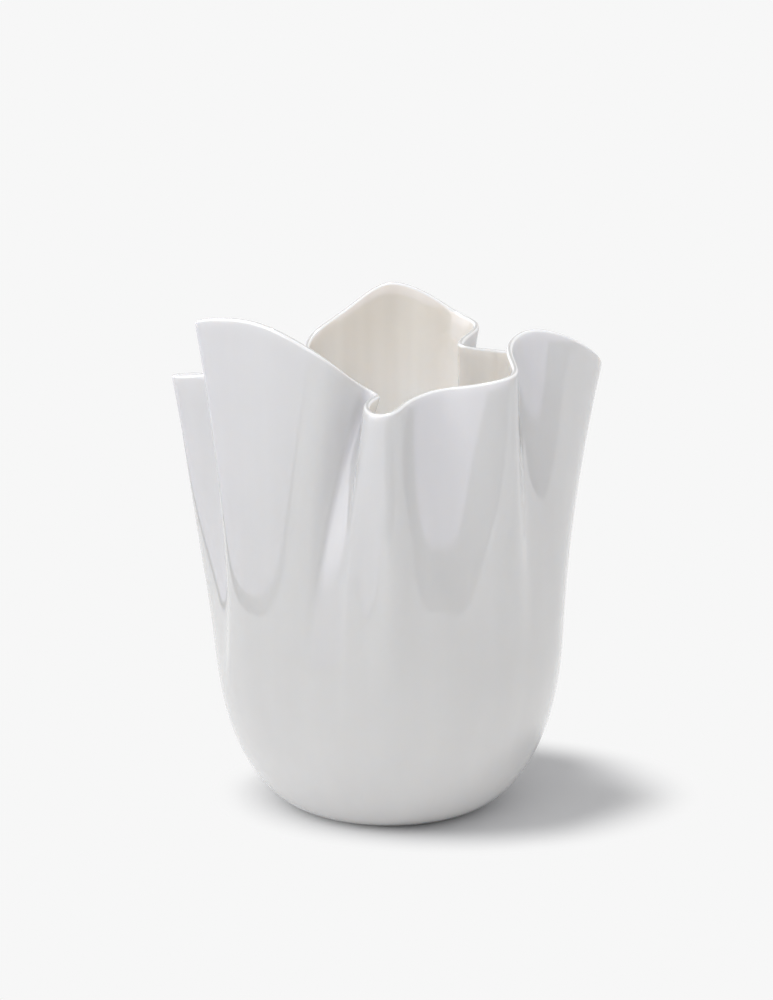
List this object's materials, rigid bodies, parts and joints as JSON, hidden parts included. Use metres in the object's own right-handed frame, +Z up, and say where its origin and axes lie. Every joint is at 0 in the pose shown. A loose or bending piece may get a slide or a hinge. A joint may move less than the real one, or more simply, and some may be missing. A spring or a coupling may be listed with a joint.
{
  "type": "handkerchief vase",
  "caption": "Tall open glass vase with a rounded bowl whose wall is drawn up into loose upright folds, like a gathered cloth.",
  "frame": {"origin": "centre of the flat ground foot, on the surface that the vase stands on", "axes": "+Z up out of the mouth; -Y is the front, between the tall front left fold and the front right fold; +X to the right seen from the front"},
  "size_m": [0.2536, 0.2161, 0.3052],
  "materials": {
    "white_glass": "gloss"
  },
  "bodies": {
    "root": {"vase": "white_glass"}
  },
  "joints": []
}
